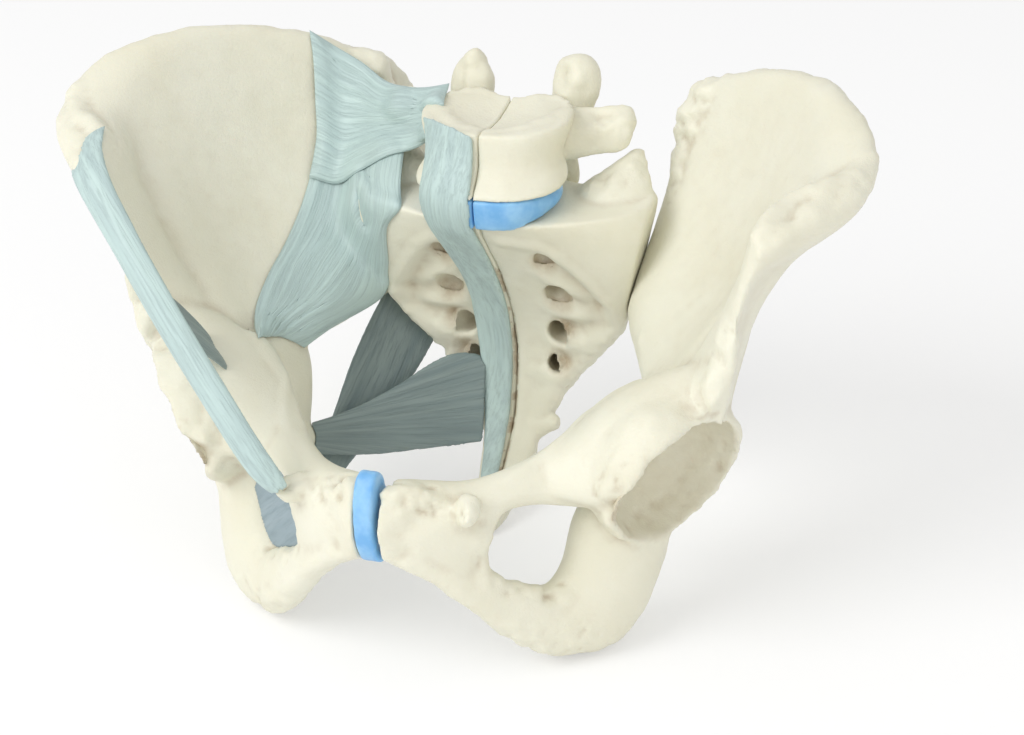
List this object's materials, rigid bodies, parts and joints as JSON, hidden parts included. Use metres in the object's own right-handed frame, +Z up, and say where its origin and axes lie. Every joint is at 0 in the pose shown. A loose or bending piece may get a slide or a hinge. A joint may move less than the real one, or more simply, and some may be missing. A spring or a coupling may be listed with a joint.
{
  "type": "pelvis skeleton model",
  "caption": "Teaching model of a human pelvis with lowest lumbar vertebra, sacrum and discs, split at the midline, with ligaments moulded on one side.",
  "frame": {"origin": "centre of the bounding box at the table surface", "axes": "+X towards the subject's left side, -Y towards the pubic bones (front), +Z up from the table"},
  "size_m": [0.2816, 0.194, 0.1681],
  "materials": {
    "bone": "cast resin in ivory, satin, with darker wash in the hollows",
    "ligament": "pale blue-grey flexible resin with fine fibre grooves",
    "membrane": "flat blue-grey resin",
    "disc": "clear light blue resin, satin",
    "dowel": "plain turned steel"
  },
  "bodies": {
    "root": {"left_hip_bone": "bone", "right_hip_bone": "bone", "left_sacrum": "bone", "right_sacrum": "bone", "left_l5": "bone", "right_l5": "bone", "left_lumbosacral_disc": "disc", "right_lumbosacral_disc": "disc", "symphysis_disc": "disc", "locating_dowels": "dowel", "anterior_longitudinal_ligament": "ligament", "anterior_sacroiliac_ligament": "ligament", "iliolumbar_ligament": "ligament", "sacrospinous_ligament": "ligament", "sacrotuberous_ligament": "ligament", "inguinal_ligament": "ligament", "iliopectineal_arch": "ligament", "posterior_sacroiliac_ligament": "ligament", "obturator_membrane": "membrane"}
  },
  "joints": []
}
